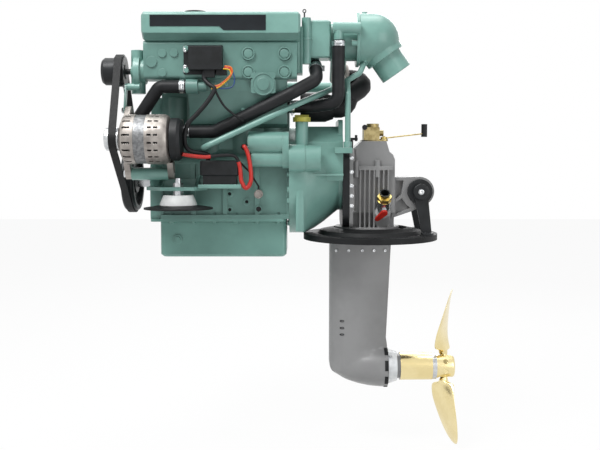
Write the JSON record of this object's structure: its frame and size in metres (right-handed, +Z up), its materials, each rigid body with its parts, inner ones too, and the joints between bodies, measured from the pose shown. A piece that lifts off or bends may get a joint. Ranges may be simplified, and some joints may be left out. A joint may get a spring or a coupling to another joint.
{
  "type": "marine diesel engine with sail drive",
  "caption": "Marine diesel on two front mounts, with a belt-driven alternator and pump, a sail drive leg through a round hull ring, and a folding propeller.",
  "frame": {"origin": "on the engine bed, midway between the four bolts of the front mounts", "axes": "+X aft along the shafts, +Y to starboard, +Z up"},
  "size_m": [1.0187, 0.602, 1.2921],
  "materials": {
    "green_paint": "semi-gloss",
    "dark_green_paint": "semi-gloss",
    "grey_paint": "satin",
    "black_paint": "satin",
    "white_paint": "satin",
    "steel": "plain",
    "cast_alloy": "as cast",
    "bronze": "polished",
    "brass": "plain",
    "rubber": "matte",
    "black_plastic": "matte",
    "olive_plastic": "matte",
    "red_plastic": "gloss",
    "cable": "matte",
    "anode_alloy": "plain"
  },
  "bodies": {
    "engine": {"cylinder_block": "green_paint", "cylinder_head": "green_paint", "rocker_cover": "green_paint", "timing_case": "green_paint", "oil_sump": "dark_green_paint", "drive_belt": "rubber", "coolant_pump": "green_paint", "heat_exchanger": "green_paint", "expansion_tank": "green_paint", "relay_box": "black_plastic", "fuse_box": "black_plastic", "alternator_housings": "cast_alloy", "alternator_stator": "steel", "alternator_cover": "black_plastic", "alternator_bracket": "green_paint", "starter_motor": "green_paint", "bell_housing": "green_paint", "adapter_plate": "black_paint", "exhaust_manifold": "green_paint", "turbocharger": "green_paint", "exhaust_elbow": "green_paint", "air_intake": "black_plastic", "intake_manifold": "green_paint", "injection_pump": "cast_alloy", "fuel_filter": "black_paint", "oil_filter": "white_paint", "seawater_pump": "cast_alloy", "front_hose": "rubber", "long_hose": "rubber", "aft_hose": "rubber", "steel_pipes": "green_paint", "hose_clamps": "steel", "wiring": "cable", "mount_brackets": "green_paint", "front_mounts": "rubber", "fasteners": "steel", "gear_housing": "grey_paint", "rear_mount": "black_paint", "shift_gear": "brass", "seacock": "brass", "hull_ring": "rubber", "drive_leg": "grey_paint", "shaft_anode": "anode_alloy"},
    "crankshaft": {"crankshaft": "steel", "flywheel": "steel", "crank_pulley": "black_paint"},
    "alternator_shaft": {"alternator_rotor": "steel", "alternator_pulley": "steel"},
    "pump_shaft": {"pump_pulley": "black_paint"},
    "propeller": {"propeller_shaft": "steel", "propeller_hub": "bronze", "blade_pins": "steel"},
    "leg_shaft": {"vertical_shaft": "steel"},
    "upper_blade": {"blade_upper": "bronze"},
    "lower_blade": {"blade_lower": "bronze"},
    "shift_arm": {"shift_lever": "brass"},
    "seacock_stem": {"seacock_handle": "red_plastic"},
    "throttle_arm": {"throttle_lever": "steel"},
    "oil_filler_cap": {"oil_cap": "olive_plastic"},
    "coolant_filler_cap": {"tank_cap": "black_plastic"}
  },
  "joints": [
    {"name": "crank_spin", "type": "hinge", "parent": "engine", "child": "crankshaft", "pos_m": [0, 0, 0.075], "axis": [1, 0, 0], "continuous": true},
    {"name": "alternator_spin", "type": "hinge", "parent": "engine", "child": "alternator_shaft", "pos_m": [0, -0.24, 0.191], "axis": [1, 0, 0], "continuous": true},
    {"name": "pump_spin", "type": "hinge", "parent": "engine", "child": "pump_shaft", "pos_m": [0, -0.142, 0.381], "axis": [1, 0, 0], "continuous": true},
    {"name": "propeller_spin", "type": "hinge", "parent": "engine", "child": "propeller", "pos_m": [0, 0, -0.493], "axis": [1, 0, 0], "continuous": true},
    {"name": "leg_shaft_spin", "type": "hinge", "parent": "engine", "child": "leg_shaft", "pos_m": [0.5362, 0, 0], "axis": [0, 0, 1], "continuous": true},
    {"name": "upper_fold", "type": "hinge", "parent": "propeller", "child": "upper_blade", "pos_m": [0.7756, 0.00261, -0.47823], "axis": [0, 0.9848, -0.1736], "range_deg": [0, 85]},
    {"name": "lower_fold", "type": "hinge", "parent": "propeller", "child": "lower_blade", "pos_m": [0.7756, -0.00261, -0.50777], "axis": [0, 0.9848, -0.1736], "range_deg": [-85, 0]},
    {"name": "shift_swing", "type": "hinge", "parent": "engine", "child": "shift_arm", "pos_m": [0.581, -0.052, 0.2], "axis": [0, 0, 1], "range_deg": [-30, 30]},
    {"name": "seacock_turn", "type": "hinge", "parent": "engine", "child": "seacock_stem", "pos_m": [0.576, -0.11254, 0.00454], "axis": [0, -0.7071, -0.7071], "range_deg": [0, 90]},
    {"name": "throttle_swing", "type": "hinge", "parent": "engine", "child": "throttle_arm", "pos_m": [0.09257, 0.17, 0.222], "axis": [0, 1, 0], "range_deg": [-25, 25]},
    {"name": "oil_cap_turn", "type": "hinge", "parent": "engine", "child": "oil_filler_cap", "pos_m": [0.341, -0.13114, 0.2], "axis": [0, 0, 1], "range_deg": [0, 90]},
    {"name": "tank_cap_turn", "type": "hinge", "parent": "engine", "child": "coolant_filler_cap", "pos_m": [0.04306, -0.1245, 0.54], "axis": [0, 0, 1], "range_deg": [0, 90]}
  ],
  "couplings": [
    {"joint": "alternator_spin", "follows": "crank_spin", "ratio": 2.9677},
    {"joint": "pump_spin", "follows": "crank_spin", "ratio": 2.1905},
    {"joint": "leg_shaft_spin", "follows": "propeller_spin", "ratio": -1.7143},
    {"joint": "lower_fold", "follows": "upper_fold", "ratio": -1}
  ]
}
